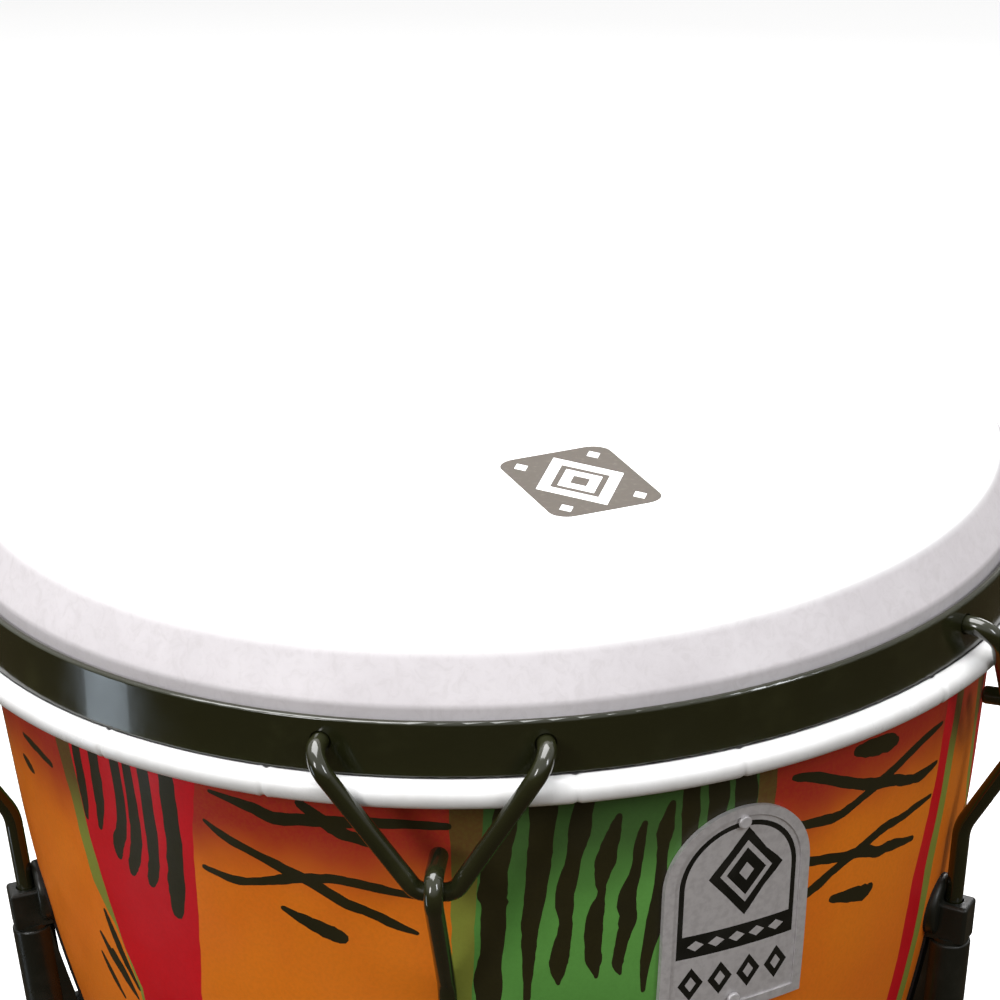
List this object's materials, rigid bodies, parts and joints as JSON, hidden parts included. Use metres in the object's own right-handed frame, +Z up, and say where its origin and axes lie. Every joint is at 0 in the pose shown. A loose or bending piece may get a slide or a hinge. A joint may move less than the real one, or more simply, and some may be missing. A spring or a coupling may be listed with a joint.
{
  "type": "djembe",
  "caption": "Goblet hand drum with a synthetic head held by a black tension rim, V hooks and hooked tension rods that screw down into lugs on a patterned shell.",
  "frame": {"origin": "centre of the foot's resting face, on the drum's axis", "axes": "+Z up along the drum's axis towards the playing surface, -Y towards lug 1, the others anticlockwise from it seen from above"},
  "size_m": [0.3484, 0.3455, 0.61],
  "materials": {
    "shell_print": "satin printed wrap on moulded PVC: red, orange and green panels with dark brush strokes",
    "foot_rubber": "matte moulded rubber",
    "head_film": "white coated polyester film, slightly satin",
    "hoop_steel": "plain drawn rod",
    "black_paint": "gloss black powder coat",
    "lug_black": "black powder coat on a casting",
    "gasket_rubber": "thin matte sheet",
    "screw_steel": "zinc plated",
    "washer_steel": "zinc plated",
    "badge_metal": "stamped plate with black filled areas",
    "rivet_metal": "round head drive pin"
  },
  "bodies": {
    "shell_body": {"shell": "shell_print", "foot_ring": "foot_rubber", "badge": "badge_metal", "badge_rivets": "rivet_metal", "lug_1": "lug_black", "lug_2": "lug_black", "lug_3": "lug_black", "lug_4": "lug_black", "lug_5": "lug_black", "lug_gasket_1": "gasket_rubber", "lug_gasket_2": "gasket_rubber", "lug_gasket_3": "gasket_rubber", "lug_gasket_4": "gasket_rubber", "lug_gasket_5": "gasket_rubber", "lug_screws_1": "screw_steel", "lug_screws_2": "screw_steel", "lug_screws_3": "screw_steel", "lug_screws_4": "screw_steel", "lug_screws_5": "screw_steel", "lug_screw_washers_1": "washer_steel", "lug_screw_washers_2": "washer_steel", "lug_screw_washers_3": "washer_steel", "lug_screw_washers_4": "washer_steel", "lug_screw_washers_5": "washer_steel", "nut_washer_1": "washer_steel", "nut_washer_2": "washer_steel", "nut_washer_3": "washer_steel", "nut_washer_4": "washer_steel", "nut_washer_5": "washer_steel"},
    "head": {"drumhead": "head_film", "flesh_hoop": "hoop_steel", "rim": "black_paint"},
    "hook_1": {"v_hook_1": "black_paint"},
    "rod_1": {"tension_rod_1": "black_paint"},
    "nut_1": {"tension_nut_1": "black_paint"},
    "hook_2": {"v_hook_2": "black_paint"},
    "rod_2": {"tension_rod_2": "black_paint"},
    "nut_2": {"tension_nut_2": "black_paint"},
    "hook_3": {"v_hook_3": "black_paint"},
    "rod_3": {"tension_rod_3": "black_paint"},
    "nut_3": {"tension_nut_3": "black_paint"},
    "hook_4": {"v_hook_4": "black_paint"},
    "rod_4": {"tension_rod_4": "black_paint"},
    "nut_4": {"tension_nut_4": "black_paint"},
    "hook_5": {"v_hook_5": "black_paint"},
    "rod_5": {"tension_rod_5": "black_paint"},
    "nut_5": {"tension_nut_5": "black_paint"}
  },
  "joints": [
    {"name": "head_lift", "type": "slide", "parent": "shell_body", "child": "head", "axis": [0, 0, 1], "range_m": [0, 0.008]},
    {"name": "rod_slide_1", "type": "slide", "parent": "shell_body", "child": "rod_1", "axis": [0, -0.0958, 0.9954], "range_m": [0, 0.00806]},
    {"name": "nut_turn_1", "type": "hinge", "parent": "shell_body", "child": "nut_1", "pos_m": [0, -0.14859, 0.479], "axis": [0, -0.0958, 0.9954], "range_deg": [-2895.3, 0]},
    {"name": "hook_swing_1", "type": "hinge", "parent": "head", "child": "hook_1", "pos_m": [0, -0.16031, 0.584], "axis": [-1, 0, 0], "range_deg": [0, 1.08]},
    {"name": "rod_slide_2", "type": "slide", "parent": "shell_body", "child": "rod_2", "axis": [0.0912, -0.0296, 0.9954], "range_m": [0, 0.00806]},
    {"name": "nut_turn_2", "type": "hinge", "parent": "shell_body", "child": "nut_2", "pos_m": [0.14132, -0.04592, 0.479], "axis": [0.0912, -0.0296, 0.9954], "range_deg": [-2895.3, 0]},
    {"name": "hook_swing_2", "type": "hinge", "parent": "head", "child": "hook_2", "pos_m": [0.15246, -0.04954, 0.584], "axis": [-0.309, -0.9511, 0], "range_deg": [0, 1.08]},
    {"name": "rod_slide_3", "type": "slide", "parent": "shell_body", "child": "rod_3", "axis": [0.0563, 0.0775, 0.9954], "range_m": [0, 0.00806]},
    {"name": "nut_turn_3", "type": "hinge", "parent": "shell_body", "child": "nut_3", "pos_m": [0.08734, 0.12021, 0.479], "axis": [0.0563, 0.0775, 0.9954], "range_deg": [-2895.3, 0]},
    {"name": "hook_swing_3", "type": "hinge", "parent": "head", "child": "hook_3", "pos_m": [0.09423, 0.12969, 0.584], "axis": [0.809, -0.5878, 0], "range_deg": [0, 1.08]},
    {"name": "rod_slide_4", "type": "slide", "parent": "shell_body", "child": "rod_4", "axis": [-0.0563, 0.0775, 0.9954], "range_m": [0, 0.00806]},
    {"name": "nut_turn_4", "type": "hinge", "parent": "shell_body", "child": "nut_4", "pos_m": [-0.08734, 0.12021, 0.479], "axis": [-0.0563, 0.0775, 0.9954], "range_deg": [-2895.3, 0]},
    {"name": "hook_swing_4", "type": "hinge", "parent": "head", "child": "hook_4", "pos_m": [-0.09423, 0.12969, 0.584], "axis": [0.809, 0.5878, 0], "range_deg": [0, 1.08]},
    {"name": "rod_slide_5", "type": "slide", "parent": "shell_body", "child": "rod_5", "axis": [-0.0912, -0.0296, 0.9954], "range_m": [0, 0.00806]},
    {"name": "nut_turn_5", "type": "hinge", "parent": "shell_body", "child": "nut_5", "pos_m": [-0.14132, -0.04592, 0.479], "axis": [-0.0912, -0.0296, 0.9954], "range_deg": [-2895.3, 0]},
    {"name": "hook_swing_5", "type": "hinge", "parent": "head", "child": "hook_5", "pos_m": [-0.15246, -0.04954, 0.584], "axis": [-0.309, 0.9511, 0], "range_deg": [0, 1.08]}
  ],
  "couplings": [
    {"joint": "rod_slide_1", "follows": "head_lift", "ratio": 1.0046},
    {"joint": "nut_turn_1", "follows": "head_lift", "rad_per_m": -6312.2},
    {"joint": "hook_swing_1", "follows": "head_lift", "rad_per_m": 2.3036},
    {"joint": "rod_slide_2", "follows": "head_lift", "ratio": 1.0046},
    {"joint": "nut_turn_2", "follows": "head_lift", "rad_per_m": -6312.2},
    {"joint": "hook_swing_2", "follows": "head_lift", "rad_per_m": 2.3036},
    {"joint": "rod_slide_3", "follows": "head_lift", "ratio": 1.0046},
    {"joint": "nut_turn_3", "follows": "head_lift", "rad_per_m": -6312.2},
    {"joint": "hook_swing_3", "follows": "head_lift", "rad_per_m": 2.3036},
    {"joint": "rod_slide_4", "follows": "head_lift", "ratio": 1.0046},
    {"joint": "nut_turn_4", "follows": "head_lift", "rad_per_m": -6312.2},
    {"joint": "hook_swing_4", "follows": "head_lift", "rad_per_m": 2.3036},
    {"joint": "rod_slide_5", "follows": "head_lift", "ratio": 1.0046},
    {"joint": "nut_turn_5", "follows": "head_lift", "rad_per_m": -6312.2},
    {"joint": "hook_swing_5", "follows": "head_lift", "rad_per_m": 2.3036}
  ]
}
